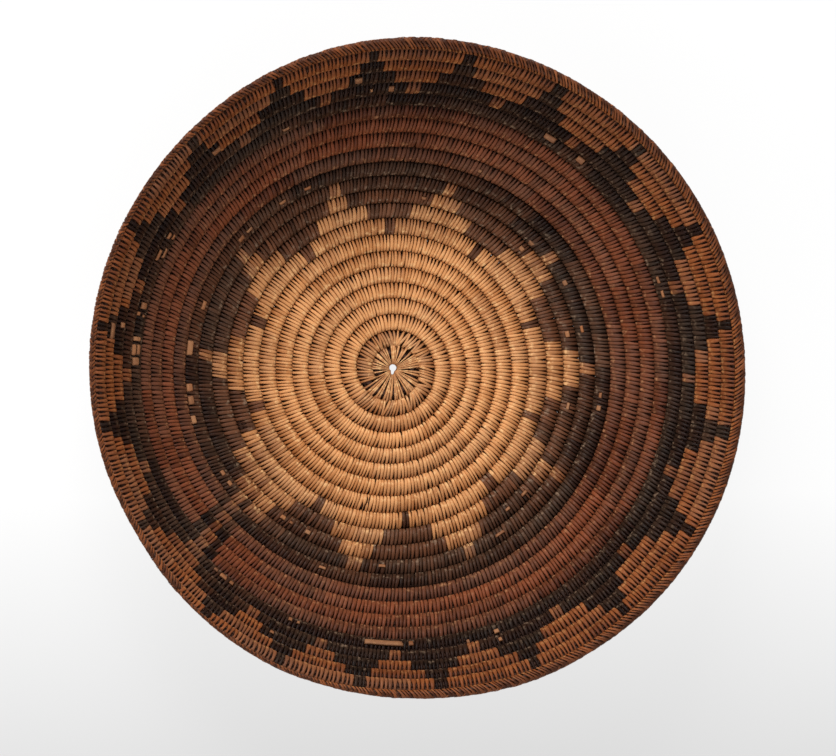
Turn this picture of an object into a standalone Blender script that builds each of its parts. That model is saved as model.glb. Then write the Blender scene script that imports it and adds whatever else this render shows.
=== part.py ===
"""Coiled wedding basket: a bowl sewn from one continuous coil that winds outward clockwise, seen from above.

A bunch of rods, the foundation, runs unbroken through the whole coil. Sewn splints cover it: natural at
the floor, then black, red, black again, and natural at the rim. Every row is sewn to the row inside it,
and each colour starts and ends on one radial line, the pathway. Metres, +Z up, standing on its floor."""

import math

import bmesh
import bpy
from mathutils import Matrix, Vector
from mathutils.geometry import intersect_point_line

# The bowl's profile, followed by the middle of the coil: three arcs, each tangent to the one before
FLOOR_RADIUS = 2.8
FLOOR_EDGE_SLOPE = math.radians(1.5)
KNUCKLE_RADIUS = 0.0737
KNUCKLE_EDGE_SLOPE = math.radians(35)
WALL_RADIUS = 0.176
OVALITY = 1.018  # the bowl is this much wider along X than along Y

# The coil
COIL_WIDTH = 0.0084  # along the wall, from one row to the next
COIL_THICKNESS = 0.0074  # through the wall
ROW_SEAM = 0.0005  # open seam between neighbouring rows
COIL_STEPS = 24  # points in one turn
START_HOLE = 0.0018  # the hole's radius where the coil begins
START_WIDTH = 0.0036  # the coil is drawn to a tip at its start
START_TAPER_TURNS = 1
RIM_END_WIDTH = 0.0028  # and shaved thin where the rim closes
RIM_TAPER_TURNS = 1 / 4
PATHWAY_ANGLE = math.radians(222)  # where every colour starts and ends, counted from +X

# Turns that each covering runs for, from the centre out
START_TURNS = 2 + 9 / COIL_STEPS
NATURAL_CENTER_TURNS = 7
BLACK_STAR_TURNS = 4
RED_BAND_TURNS = 4
BLACK_STEP_TURNS = 4
NATURAL_OUTER_TURNS = 1
RIM_TURNS = 1

# How the coverings sit on the foundation and against each other
SPLINT_WALL = 0.0008  # least depth of sewn splint over the foundation
BUNCH_CLEARANCE = 0.0003  # foundation to covering
COLOUR_CLEARANCE = 0.0003  # one colour's last stitch to the next colour's first
END_STRAIGHT = 0.001  # each covering's ends run straight this far, so that they meet squarely
BASE_CUT = 0.0005  # the floor's rows are worn flat this deep
BASE_SLAB = 0.22  # side of the slab that cuts them, wider than the natural centre

# Splint ends that lie in the open on the coil's inner face
END_THICKNESS = 0.0005
END_CLEARANCE = 0.0003
END_WIDTH = 0.0021
# Row counted from the rim, angle from +X in degrees, and length
SPLINT_ENDS = [
    (12, 232.6, 0.007), (12, 241.8, 0.005), (11, 302, 0.007), (10, 116.7, 0.005),
    (10, 137, 0.005), (10, 161.9, 0.006), (10, 174.1, 0.009), (10, 184.5, 0.005),
    (10, 193.7, 0.007), (10, 248.6, 0.005), (5, 58.9, 0.009), (5, 155.5, 0.007),
    (5, 172.9, 0.012), (5, 228.5, 0.009), (5, 245.2, 0.008), (5, 263.8, 0.021),
    (5, 285.2, 0.009), (4, 212.2, 0.006), (3, 132, 0.01), (2, 171.6, 0.009),
]  # fmt: skip

PITCH = COIL_WIDTH + ROW_SEAM
WELD = 1e-6  # points nearer than this are one
ALL_TURNS = (
    START_TURNS
    + NATURAL_CENTER_TURNS
    + BLACK_STAR_TURNS
    + RED_BAND_TURNS
    + BLACK_STEP_TURNS
    + NATURAL_OUTER_TURNS
    + RIM_TURNS
)


def width_share(turn):
    """The coil's width at a turn, as a share of its full width."""
    start, end = START_WIDTH / COIL_WIDTH, RIM_END_WIDTH / COIL_WIDTH
    opening = min(turn / START_TAPER_TURNS, 1)
    closing = max(min((ALL_TURNS - turn) / RIM_TAPER_TURNS, 1), 0)
    return min(start + (1 - start) * opening, end + (1 - end) * closing)


def arc_length(turn):
    """Distance along the profile from the axis to the coil's middle. A thin stretch keeps to its inner row."""
    tip = START_HOLE + START_WIDTH / 2
    spared = (COIL_WIDTH - START_WIDTH) / 2
    if turn < START_TAPER_TURNS:
        return tip + PITCH * turn - spared * turn / START_TAPER_TURNS
    return tip + PITCH * turn - spared - COIL_WIDTH * (1 - width_share(turn)) / 2


def profile(length):
    """(radius, height, slope) of the profile at an arc length from the axis."""
    radius = height = slope = 0.0
    floor = FLOOR_RADIUS * FLOOR_EDGE_SLOPE
    knuckle = KNUCKLE_RADIUS * (KNUCKLE_EDGE_SLOPE - FLOOR_EDGE_SLOPE)
    for arc, limit in ((FLOOR_RADIUS, floor), (KNUCKLE_RADIUS, knuckle), (WALL_RADIUS, math.inf)):
        run = min(length, limit)
        end = slope + run / arc
        radius += arc * (math.sin(end) - math.sin(slope))
        height += arc * (math.cos(slope) - math.cos(end))
        length -= run
        slope = end
    return radius, height + COIL_THICKNESS / 2 - BASE_CUT, slope


def coil_point(turn, across=0.0, above=0.0):
    """A point at the coil's middle or beside it: across runs up the wall, above runs into the bowl."""
    radius, height, slope = profile(arc_length(turn))
    angle = PATHWAY_ANGLE + 2 * math.pi * (ALL_TURNS - turn)
    radius += across * math.cos(slope) - above * math.sin(slope)
    height += across * math.sin(slope) + above * math.cos(slope)
    return Vector((OVALITY * radius * math.cos(angle), radius * math.sin(angle), height))


def turns_from(first, last):
    """The turns of the coil's points, which lie at the same angles in every row."""
    count = round((last - first) * COIL_STEPS)
    return [first + i / COIL_STEPS for i in range(count + 1)]


COIL_SECTION = [
    (COIL_WIDTH / 2, 0),
    (COIL_WIDTH / 4, COIL_THICKNESS / 2),
    (-COIL_WIDTH / 4, COIL_THICKNESS / 2),
    (-COIL_WIDTH / 2, 0),
    (-COIL_WIDTH / 4, -COIL_THICKNESS / 2),
    (COIL_WIDTH / 4, -COIL_THICKNESS / 2),
]
# Three rods in a bunch, two below and one above, drawn as the triangle round them
BUNCH_REACH = COIL_THICKNESS / 2 - SPLINT_WALL
BUNCH_SECTION = [
    (BUNCH_REACH * math.sin(corner), BUNCH_REACH * math.cos(corner))
    for corner in (0, -2 * math.pi / 3, 2 * math.pi / 3)
]


def bowl_centre():
    """The middle of the bowl's outline, which is put on the Z axis. The spiral's own axis is off it."""
    reach = [
        coil_point(turn, across, above)
        for turn in turns_from(ALL_TURNS - 2, ALL_TURNS)
        for across, above in COIL_SECTION
    ]
    xs, ys = [p.x for p in reach], [p.y for p in reach]
    return Vector(((min(xs) + max(xs)) / 2, (min(ys) + max(ys)) / 2, 0))


CENTRE = bowl_centre()


def clear_scene():
    for obj in list(bpy.data.objects):
        bpy.data.objects.remove(obj, do_unlink=True)


def new_collection(name):
    made = bpy.data.collections.new(name)
    bpy.context.scene.collection.children.link(made)
    return made


def as_helper(obj):
    """A cutter or a guide, which isn't part of the basket."""
    obj.hide_render = True
    obj.display_type = "WIRE"
    return obj


def splint_material(name, colour, roughness):
    material = bpy.data.materials.new(name)
    material.use_nodes = True
    shader = material.node_tree.nodes["Principled BSDF"]
    shader.inputs["Base Color"].default_value = (*colour, 1)
    shader.inputs["Roughness"].default_value = roughness
    shader.inputs["Metallic"].default_value = 0
    return material


def section_guide(name, corners, guides):
    """A closed outline across the coil: x runs along the wall, y through it."""
    curve = bpy.data.curves.new(name, "CURVE")
    spline = curve.splines.new("POLY")
    spline.points.add(len(corners) - 1)
    for point, (x, y) in zip(spline.points, corners):
        point.co = (x, y, 0, 1)
    spline.use_cyclic_u = True
    guide = as_helper(bpy.data.objects.new(name, curve))
    guides.objects.link(guide)
    return guide


def coil_tube(name, turns, section, scale_at, collection):
    """A closed mesh tube along the coil, with the section's size scaled at each turn."""
    curve = bpy.data.curves.new(name, "CURVE")
    curve.dimensions = "3D"
    curve.twist_mode = "Z_UP"
    curve.bevel_mode = "OBJECT"
    curve.bevel_object = section
    curve.use_fill_caps = True
    spline = curve.splines.new("POLY")
    spline.points.add(len(turns) - 1)
    for point, turn in zip(spline.points, turns):
        point.co = (*(coil_point(turn) - CENTRE), 1)
        point.tilt = profile(arc_length(turn))[2]
        point.radius = scale_at(turn)
    path = bpy.data.objects.new(name + "_path", curve)
    collection.objects.link(path)
    bpy.context.view_layer.update()
    evaluated = path.evaluated_get(bpy.context.evaluated_depsgraph_get())
    tube = bpy.data.objects.new(name, bpy.data.meshes.new_from_object(evaluated))
    tube.matrix_world = path.matrix_world
    collection.objects.link(tube)
    bpy.data.objects.remove(path)
    weld_caps(tube.data)
    return tube


def weld_caps(mesh):
    bm = bmesh.new()
    bm.from_mesh(mesh)
    bmesh.ops.remove_doubles(bm, verts=bm.verts, dist=WELD)
    bmesh.ops.recalc_face_normals(bm, faces=bm.faces)
    bm.to_mesh(mesh)
    bm.free()


def cut(obj, cutter):
    modifier = obj.modifiers.new(cutter.name, "BOOLEAN")
    modifier.operation = "DIFFERENCE"
    modifier.object = cutter


def covering_turns(first, last):
    """A covering's points are the coil's own. Where two colours meet, its end is drawn in and led straight."""
    turns = turns_from(first, last)
    if first > 0:
        one_turn = 2 * math.pi * profile(arc_length(first))[0]
        met = first + COLOUR_CLEARANCE / 2 / one_turn
        turns[:1] = [met, met + END_STRAIGHT / one_turn]
    if last < ALL_TURNS:
        one_turn = 2 * math.pi * profile(arc_length(last))[0]
        met = last - COLOUR_CLEARANCE / 2 / one_turn
        turns[-1:] = [met - END_STRAIGHT / one_turn, met]
    return turns


def foundation_share(turn):
    """The foundation's size at a turn, which leaves the same clearance in the bore where the coil is thin."""
    free = 2 * BUNCH_CLEARANCE
    return (BUNCH_REACH * width_share(turn) - free) / (BUNCH_REACH - free)


def build_foundation(material, sections, nodes):
    """The bunch of rods, unbroken from the start of the coil to the rim's end."""
    rods = coil_tube(
        "foundation_rods", turns_from(0, ALL_TURNS), sections["foundation"], foundation_share, nodes
    )
    rods.data.materials.append(material)


def build_covering(name, first, last, material, sections, nodes, cutters, base):
    """Sewn splint round a run of the coil, with the foundation's bore open at both ends."""
    covering = coil_tube(name, covering_turns(first, last), sections["coil"], width_share, nodes)
    step = 1 / COIL_STEPS
    bore_turns = turns_from(first - step, last + step)
    bore = coil_tube(name + "_bore", bore_turns, sections["bore"], width_share, cutters)
    cut(covering, as_helper(bore))
    if profile(arc_length(first))[2] < FLOOR_EDGE_SLOPE:
        cut(covering, base)
    covering.data.materials.append(material)


def build_base_cutter(cutters):
    """A slab under the floor that flattens the rows the basket stands on."""
    bpy.ops.mesh.primitive_cube_add(size=BASE_SLAB, location=(0, 0, -BASE_SLAB / 2))
    slab = as_helper(bpy.context.object)
    slab.name = "base_cutter"
    bpy.context.collection.objects.unlink(slab)
    cutters.objects.link(slab)
    return slab


def inner_face(step, share, across):
    """A point on the flat that the coil turns to the bowl's inside, a share of the way along one step."""
    low, high = (coil_point(i / COIL_STEPS, across, COIL_THICKNESS / 2) for i in (step, step + 1))
    return low.lerp(high, share)


def build_splint_end(name, row, angle, length, material, nodes):
    """A loose end of splint on the coil's crest. It keeps to the one flat that it lies on."""
    past_pathway = (math.radians(angle) - PATHWAY_ANGLE) % (2 * math.pi)
    turn = ALL_TURNS - row - past_pathway / (2 * math.pi)
    step = math.floor(turn * COIL_STEPS)
    low, high = inner_face(step, 0, 0), inner_face(step, 1, 0)
    margin = (length / 2 + END_CLEARANCE) / (high - low).length
    share = min(max(turn * COIL_STEPS - step, margin), 1 - margin)
    seat = inner_face(step, share, 0)
    along = (high - low).normalized()
    up = (inner_face(step, share, COIL_WIDTH / 4) - seat).cross(along).normalized()
    up = up if up.z > 0 else -up
    mesh = bpy.data.meshes.new(name)
    bm = bmesh.new()
    bmesh.ops.create_cube(bm, size=1, matrix=Matrix.Diagonal((length, END_WIDTH, END_THICKNESS, 1)))
    bm.to_mesh(mesh)
    bm.free()
    mesh.materials.append(material)
    end = bpy.data.objects.new(name, mesh)
    turned = Matrix((along, up.cross(along), up)).transposed().to_4x4()
    end.matrix_world = Matrix.Translation(seat - CENTRE + up * (END_CLEARANCE + END_THICKNESS / 2)) @ turned
    nodes.objects.link(end)


def least_gap(corners, share_at):
    """The least distance from a row's corners to the edges of the row outside it."""
    least = math.inf
    for turn in turns_from(0, ALL_TURNS - 1):
        ring = [coil_point(turn, x * share_at(turn), y * share_at(turn)) for x, y in corners]
        for before in (-1, 0):
            low = turn + 1 + before / COIL_STEPS
            high = min(low + 1 / COIL_STEPS, ALL_TURNS)
            for x, y in corners:
                a, b = (coil_point(t, x * share_at(t), y * share_at(t)) for t in (low, high))
                if (b - a).length < WELD:
                    continue
                for point in ring:
                    foot, along = intersect_point_line(point, a, b)
                    foot = a if along < 0 else b if along > 1 else foot
                    least = min(least, (point - foot).length)
    return least


def build_basket():
    clear_scene()
    nodes = new_collection("wedding_basket")
    cutters, guides = new_collection("cutters"), new_collection("guides")
    free = 1 - 2 * BUNCH_CLEARANCE / BUNCH_REACH
    foundation_section = [(x * free, y * free) for x, y in BUNCH_SECTION]
    sections = {
        "coil": section_guide("coil_section", COIL_SECTION, guides),
        "bore": section_guide("bore_section", BUNCH_SECTION, guides),
        "foundation": section_guide("foundation_section", foundation_section, guides),
    }
    rods = splint_material("peeled_rods", (0.36, 0.22, 0.10), 0.6)
    natural = splint_material("natural_splint", (0.38, 0.17, 0.06), 0.45)
    aged = splint_material("aged_natural_splint", (0.20, 0.07, 0.025), 0.45)
    black = splint_material("black_dyed_splint", (0.016, 0.011, 0.008), 0.5)
    red = splint_material("red_dyed_splint", (0.075, 0.026, 0.013), 0.5)
    build_foundation(rods, sections, nodes)
    base = build_base_cutter(cutters)
    first = 0
    for name, turns, material in (
        ("start_coil_stitching", START_TURNS, natural),
        ("natural_center_stitching", NATURAL_CENTER_TURNS, natural),
        ("black_star_stitching", BLACK_STAR_TURNS, black),
        ("red_band_stitching", RED_BAND_TURNS, red),
        ("black_step_stitching", BLACK_STEP_TURNS, black),
        ("natural_outer_stitching", NATURAL_OUTER_TURNS, aged),
        ("rim_stitching", RIM_TURNS, aged),
    ):
        build_covering(name, first, first + turns, material, sections, nodes, cutters, base)
        first += turns
    for number, (row, angle, length) in enumerate(SPLINT_ENDS, 1):
        build_splint_end(f"exposed_splint_end_{number:02d}", row, angle, length, natural, nodes)
    print(f"coil: least gap between rows {1000 * least_gap(COIL_SECTION, width_share):.2f} mm")
    print(f"foundation: least gap to itself {1000 * least_gap(foundation_section, foundation_share):.2f} mm")


build_basket()
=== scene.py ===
"""Coiled wedding basket: its sewn stitches, braided rim and bare splint ends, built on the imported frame.

The frame gives the coil's course. Every stitch is a copy of one splint, bent round the coil and into the
row inside it. Natural, black and red-brown splints make the star, the band, the steps and the pathway.
Metres, +Z up, standing on its floor."""

import math

import bpy
import numpy as np
from mathutils import Matrix, Vector


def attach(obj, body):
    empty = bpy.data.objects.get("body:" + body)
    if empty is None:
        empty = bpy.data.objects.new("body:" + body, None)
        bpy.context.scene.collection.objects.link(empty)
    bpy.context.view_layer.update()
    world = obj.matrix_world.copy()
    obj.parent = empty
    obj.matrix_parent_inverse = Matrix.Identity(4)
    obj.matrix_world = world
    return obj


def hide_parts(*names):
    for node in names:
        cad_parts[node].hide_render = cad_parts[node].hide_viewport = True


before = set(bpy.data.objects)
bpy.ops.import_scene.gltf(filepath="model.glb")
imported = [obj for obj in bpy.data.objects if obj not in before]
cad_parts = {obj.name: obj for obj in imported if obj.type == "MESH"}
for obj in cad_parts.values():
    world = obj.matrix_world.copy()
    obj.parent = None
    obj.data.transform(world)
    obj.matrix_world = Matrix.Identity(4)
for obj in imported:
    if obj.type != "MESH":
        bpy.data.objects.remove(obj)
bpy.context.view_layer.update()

# The coil's course, as in the frame: three arcs of wall, followed in one spiral
FLOOR_RADIUS = 2.8
FLOOR_EDGE_SLOPE = math.radians(1.5)
KNUCKLE_RADIUS = 0.0737
KNUCKLE_EDGE_SLOPE = math.radians(35)
WALL_RADIUS = 0.176
OVALITY = 1.018
COIL_WIDTH = 0.0084
COIL_THICKNESS = 0.0074
ROW_PITCH = 0.0089
START_HOLE = 0.0018
START_WIDTH = 0.0036
RIM_END_WIDTH = 0.0028
RIM_TAPER_TURNS = 0.25
BASE_CUT = 0.0005
PATHWAY_ANGLE = math.radians(222)
START_TURNS = 2.375
ALL_TURNS = 23.375
FRAME_STEPS = 24  # the points of the frame's coil to a turn
# The outer corners of its section: across the coil and above its middle
OUTER_CORNERS = np.array(((COIL_WIDTH / 2, 0), (COIL_WIDTH / 4, -COIL_THICKNESS / 2)))

# Where the sewing departs from the frame, in metres: the rows creep outward along the wall, turn by turn,
# most of all on the side at 180 degrees
CREEP_TURNS = (2.4, 4.0, 6.4, 7.9, 9.0, 10.0, 15.0, 20.0, 22.4)
CREEP = (0.0008, 0.0010, 0.0002, 0.0003, 0.0013, 0.0018, 0.0030, 0.0038, 0.0041)
SWAY = (0.0005, 0.0006, 0.0010, 0.0014, 0.0005, 0.0003, 0.0005, 0.0012, 0.0013)
# Sides on which a band of rows lies further out or in: its first and last turn, the turns over which it
# fades, its middle angle, the degrees over which it fades, and how far it is off in metres
UNEVEN = (
    (21.0, 24.0, 1.2, 165, 52, 0.0031),
    (21.0, 24.0, 1.2, 112, 22, 0.0016),
    (22.3, 24.0, 0.8, 210, 9, -0.0020),
    (22.7, 24.0, 2.2, 268, 18, -0.0034),
    (22.0, 24.0, 1.4, 328, 28, 0.0019),
    (12.4, 13.6, 1.9, 85, 36, -0.0028),
    (12.5, 16.5, 2.6, 197, 32, 0.0017),
)
# The rim's coil is thinner than the others, and thinnest on the side at 180 degrees
RIM_TURNS = (
    22.31, 22.38, 22.42, 22.56, 22.61, 22.66, 22.74, 22.83, 22.93, 23.0, 23.1, 23.16, 23.19, 23.26, 23.3,
)
RIM_SHARE = (1.0, 0.52, 0.36, 0.29, 0.38, 0.51, 0.72, 0.61, 0.60, 0.58, 0.60, 0.62, 0.76, 0.74, 0.45)

# Rows are counted inward from the rim, which is row 0. Angles are degrees from +X towards +Y.
BLACK_STAR = (18.1, 54.7, 91.8, 126.6, 160.8, 195.2, 240.2, 274.4, 310.6, 341.3)
BLACK_STAR_REACH = {14: 1.8, 13: 7.9}  # half the width of each black step, by row
# Half the width of each one's foot in row 12
BLACK_STAR_FOOT = (12.0, 13.6, 14.4, 14.2, 13.2, 12.0, 12.5, 12.0, 12.0, 12.3)
NATURAL_POINTS = (35.9, 73.6, 108.7, 143.4, 176.0, 257.4, 292.2, 326.6, 360.0)
NATURAL_POINT_REACH = 1.7  # the star's points in row 11
BREAK_STAR = (214.0, 228.0)  # row 11 is natural between these, where the design is broken
BLACK_STEPS = (
    8.0, 26.9, 45.4, 63.6, 81.2, 98.9, 117.1, 135.9, 153.8, 172.3,
    190.2, 209.2, 228.5, 243.3, 258.4, 273.4, 291.1, 310.1, 328.9, 348.3,
)
BLACK_STEP_REACH = {1: 0.9, 2: 2.2, 3: 4.5}
STEP_GAP_REACH = 1.25  # natural gaps between the steps in row 4
PATHWAY_MIDDLE = {10: 219.0, 9: 219.3, 8: 219.6, 7: 219.8, 6: 220.0, 5: 220.0, 4: 220.0}
PATHWAY_REACH = 1.4
PATHWAY_BORDER = 2.4  # a black edging on each side of the pathway, in the red rows

# A stitch's loop round a coil of full width. Its inner end stands proud over the row inside, and it thins
# towards the row outside, so that dark wedges open between the stitches there. The columns are: across the
# coil, above its middle, the splint's width as a share of the stitch spacing, how much painted shade and dirt
# it takes (1 is down in a seam), and how much wear and painted sheen it shows
STITCH_PATH = np.array((
    (-0.0041, 0.0004, 1.15, 0.44, 0.0),
    (-0.0041, 0.0017, 0.84, 0.12, 0.6),
    (-0.0037, 0.0027, 1.02, 0.00, 1.0),
    (-0.0024, 0.0033, 1.14, 0.00, 0.8),
    (-0.0005, 0.0034, 1.12, 0.10, 0.3),
    (0.0015, 0.0029, 1.00, 0.22, 0.0),
    (0.0033, 0.0018, 0.76, 0.34, 0.0),
    (0.0043, 0.0000, 1.30, 0.48, 0.0),
    (0.0036, -0.0018, 1.24, 0.50, 0.0),
    (0.0020, -0.0026, 1.14, 0.20, 0.2),
    (-0.0002, -0.0030, 1.18, 0.00, 0.4),
    (-0.0024, -0.0029, 1.18, 0.00, 0.4),
    (-0.0042, -0.0022, 1.24, 0.30, 0.2),
    (-0.0053, -0.0011, 1.30, 0.80, 0.0),
))
TAPERED = (5, 6)  # the places on the loop where it thins, some stitches more than others
SPLINT_THICKNESS = 0.0006
SPLINT_FACE = 0.58  # the flat of a splint's outer face, as a share of its width
STITCHES_PER_SPLINT = (5, 28)  # a splint lasts for 5 to 27 stitches
STITCH_WIDTHS = (0.8, 1.2)  # the narrowest and widest place for a stitch, as a share of the spacing
STITCH_FILLING = (0.93, 1.04)  # how much of its place each one fills
STITCH_THICKNESSES = (0.86, 1.16)  # the thinnest and thickest, as a share of a splint's usual thickness
STITCH_TAPERS = (0.8, 1.2)  # how much of its width is left where it thins, as a share of what is usual
STITCH_LIFT = 0.05  # how much higher or lower one lies than the next where it is wide, as a share
LIFTED_SHARE = 0.9  # the width, as a share of the spacing, over which a place on the loop counts as wide
LEAN_SPREAD = 2.5  # degrees by which neighbouring stitches lean differently
SPLIT_WIDTH = 0.2  # what is left of a stitch's width where it has split
SEAM_SHADE_SPREAD = (0.35, 1.65)  # how much more or less painted shade and dirt a stitch takes in its seams, as a share of what is usual
INNER_FACE_SHADE_AND_DIRT = 0.8  # painted shade and dirt on a splint's inner face, where the splint is on top
SEAM_EXTRA_SHADE_AND_DIRT = 0.2  # and how much more so down in a seam
NATURAL, BLACK, RED = 0, 1, 2
# Small holes where a stitch has split: row, angle, and the first of the two places on its loop
SMALL_HOLES = (
    (16, 204.7, 1), (14, 246.7, 1), (15, 257.2, 5), (15, 258.9, 3),
    (13, 199.3, 5), (13, 201.4, 5), (13, 188.4, 2),
)
# How far age or handling has changed each dye, by row
AGEING = {
    NATURAL: {
        20: 0.0, 16: 0.02, 15: 0.06, 14: 0.29, 13: 0.45, 12: 0.66,
        11: 1.0, 10: 1.0, 5: 1.0, 4: 0.8, 3: 0.05, 0: 0.0,
    },
    BLACK: {14: 1.0, 13: 0.8, 12: 0.5, 11: 0.3, 10: 0.25, 5: 0.0, 0: -0.2},
    RED: {9: 1.0, 8: 0.0, 7: 0.35, 6: 0.7},
}
AGE_SPREAD = np.array((0.15, 0.5, 0.5))  # how far one splint's age may lie from the next one's, by dye
STITCH_AGES = (0.7, 1.3)  # and one stitch's from the next one's, as a share
DUSTINESS = np.array((0.2, 0.08, 0.12))  # the most greyish dust that each dye holds
# How many degrees the stitches lean, outward with the winding, by row
LEAN = {20: 2, 14: 4, 13: 8, 12: 9, 11: 10, 10: 11, 9: 9, 6: 8, 5: 10, 4: 8, 3: 5, 0: 3}

# The start's hole is a teardrop, a little up and to the right of the coil's axis, with a tail drawn downward
HOLE_RADIUS = 0.0023
HOLE_RIGHT = 0.0004
HOLE_UP = 0.0008
HOLE_TAIL = 0.0020
HOLE_TAIL_ANGLE = math.radians(266)
LONG_STITCHES = 56
LONG_STITCH_TURNS = (0.38, 1.42)  # the turns that the start's long stitches cover
LONG_STITCH_SHIFT = 0.004  # of a turn, by which one lies nearer to its neighbour
LONG_STITCH_WIDTHS = (0.0006, 0.0016)  # at the hole and at the outer edge
LONG_STITCH_FILLING = (0.74, 1.1)  # how much of that width each one has
LONG_STITCH_REACH = 0.0052  # from the coil's middle to where they end on top
LONG_STITCH_ENDS = (-0.0024, 0.0020)  # how far they fall short of that or pass it
LONG_STITCH_FOOT = 0.0064  # and to where they turn back underneath
LONG_STITCH_FLATTENING = 0.3  # how much lower their loop is where the coil is thin
LONG_STITCH_OVERLAP = 1.04  # how much of the turn between two of them each one covers
UNDERSIDE_OVERLAP = 2.1  # and underneath, where no light comes through
# How far they wander along the coil on their way out: each by itself, with its neighbours, and all one way
LONG_STITCH_WANDER = (0.0007, 0.0009, 0.0006)
# A long stitch's loop: its place on the way from the hole (0) to the outer edge (1), its height in
# millimetres, and how much painted shade and dirt it takes
LONG_STITCH_PATH = np.array((
    (0.12, -1.5, 1.0),
    (0.0, 0.6, 0.6),
    (0.02, 2.0, 0.2),
    (0.14, 2.75, 0.1),
    (0.34, 3.0, 0.0),
    (0.58, 3.1, 0.0),
    (0.82, 2.75, 0.1),
    (0.95, 1.7, 0.35),
    (1.0, 0.0, 0.7),
    (0.95, -1.7, 0.8),
    (0.78, -2.6, 0.4),
    (0.5, -2.8, 0.3),
    (0.25, -2.8, 0.3),
    (0.05, -1.9, 0.8),
))
UNDERSIDE = 8  # the first place on that loop that lies on the outer edge or under it
# The second turn's stitches: how far apart they lie, how much of their place they fill, and the degrees
# by which each leans by itself and with its neighbours
SECOND_TURN_SPACING = 0.00165
SECOND_TURN_FILLING = 0.96
SECOND_TURN_LEAN = (5, 11)
SECOND_TURN_SHADE_AND_DIRT = 0.3  # painted shade and dirt at their inner ends, which lie open on the long stitches

RIM_SPACING = 0.00205
RIM_WIDTHS = (0.9, 1.1)  # how much of its place each stitch fills
RIM_WANDER = 0.0002  # how far one lies along the coil from where it should
RIM_SHORTENS = 0.7  # under this share of the full width, the rim's strands sweep less far along the coil
# The rim's stitches at each place on the loop: how far they sweep along the coil in millimetres, their
# width as a share of another row's, and the least painted shade and dirt they take
RIM_PATH = np.array((
    (0.6, 1.0, 0.0),
    (0.6, 1.0, 0.0),
    (0.5, 0.86, 0.0),
    (0.3, 0.74, 0.0),
    (-0.2, 0.72, 0.05),
    (-1.1, 0.78, 0.3),
    (-2.4, 1.1, 0.7),
    (-3.5, 1.0, 0.9),
    (-3.9, 1.0, 0.9),
    (-3.3, 1.0, 0.7),
    (-2.2, 1.0, 0.3),
    (-1.1, 1.0, 0.0),
    (-0.1, 1.0, 0.0),
    (0.5, 1.0, 0.0),
))
# The strands that cross them on the outside: the angles round the coil's middle that they span, how far
# out of it they lie, and their sweep along the coil
CROSSING_ANGLES = np.radians(np.linspace(14, -112, len(RIM_PATH)))
CROSSING_RADIUS = 0.0037
CROSSING_RAGGEDNESS = (-0.0004, 0.0003)  # how far one lies inside or outside of that
CROSSING_END_RADIUS = 0.0027  # their ends are tucked in
CROSSING_OUTWARD = 0.0004  # by which their ring lies outward of the coil's middle
CROSSING_SWEEP = np.linspace(-0.0036, 0.0028, len(RIM_PATH))
CROSSING_WANDER = 0.00015
CROSSING_WIDTHS = (0.6, 0.8)
CROSSING_THICKNESS = 0.00045

# The foundation: three rods, and where each lies across the coil and above its middle
ROD_RADIUS = 0.0018
ROD_PLACES = ((-0.00165, -0.00095), (0.00165, -0.00095), (0.0, 0.0012))
ROD_FIRST_TURN = 0.35  # their thinned tips lie hidden under the start's long stitches
ROD_STEPS = 48  # to a turn

# Bare splint that lies over the rows: row, angle, length and width in metres. A row of 4.8 is a fifth of a
# row outward of the crest of row 5.
BARE_ENDS = (
    (12, 11.5, 0.0035, 0.003), (12, 43.6, 0.003, 0.003), (12, 232.5, 0.003, 0.003), (12, 235.5, 0.002, 0.002),
    (12, 241.4, 0.003, 0.003), (12, 308.7, 0.003, 0.002), (12, 316, 0.004, 0.002), (12, 347.9, 0.004, 0.002),
    (12, 80.5, 0.0025, 0.002), (11, 12.2, 0.004, 0.002), (11, 27.1, 0.003, 0.003), (11.3, 43, 0.004, 0.003),
    (11, 265.4, 0.004, 0.002), (11, 302, 0.006, 0.002), (10, 116.7, 0.004, 0.002), (10, 124.8, 0.004, 0.002),
    (10, 137, 0.004, 0.002), (10, 140.4, 0.004, 0.003), (10, 161.9, 0.005, 0.003),
    (9.7, 174.2, 0.0078, 0.0036), (9.7, 185, 0.0042, 0.0038), (9.7, 188.5, 0.0046, 0.0036),
    (9.6, 193.8, 0.0044, 0.0034),
    (10, 210.5, 0.003, 0.003), (10, 214, 0.003, 0.003), (10, 248.6, 0.004, 0.002), (10, 349, 0.003, 0.003),
    (10, 352.6, 0.003, 0.002), (9, 68, 0.002, 0.0025), (5, 16.5, 0.004, 0.002), (5, 19.7, 0.004, 0.002),
    (4.7, 50.8, 0.0045, 0.004), (4.7, 58.8, 0.0068, 0.0036), (5, 117.4, 0.004, 0.002),
    (5.02, 154.8, 0.0056, 0.002), (4.66, 155.7, 0.0062, 0.0018), (5.05, 150.9, 0.003, 0.002),
    (4.7, 151.2, 0.0036, 0.0018), (3.0, 132.5, 0.0054, 0.0042), (2.9, 101.3, 0.0042, 0.0044),
    (3.95, 94.4, 0.003, 0.0044), (3.9, 98.5, 0.0014, 0.0022),
    (4.9, 166.7, 0.0035, 0.0046), (4.6, 168.5, 0.002, 0.0022), (5, 168.8, 0.0014, 0.002),
    (4.8, 173.7, 0.0022, 0.006), (5.0, 175.9, 0.0054, 0.0032), (4.62, 176.0, 0.0058, 0.003),
    (4.82, 178.4, 0.0042, 0.005),
    (5, 225.5, 0.0024, 0.0026), (5, 227.6, 0.0042, 0.0036), (5, 229.7, 0.0024, 0.003),
    (5, 244, 0.0022, 0.003), (5, 245.8, 0.0016, 0.0024), (5, 264.2, 0.0212, 0.0042),
    (5, 269.9, 0.0027, 0.0038),
    (4.6, 281.7, 0.0016, 0.002), (4.7, 288.0, 0.0028, 0.0026), (3.9, 287.8, 0.002, 0.0028),
    (3, 171.5, 0.0028, 0.0044), (3, 240.9, 0.0024, 0.0026), (2, 172.9, 0.0084, 0.0044),
)
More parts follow.
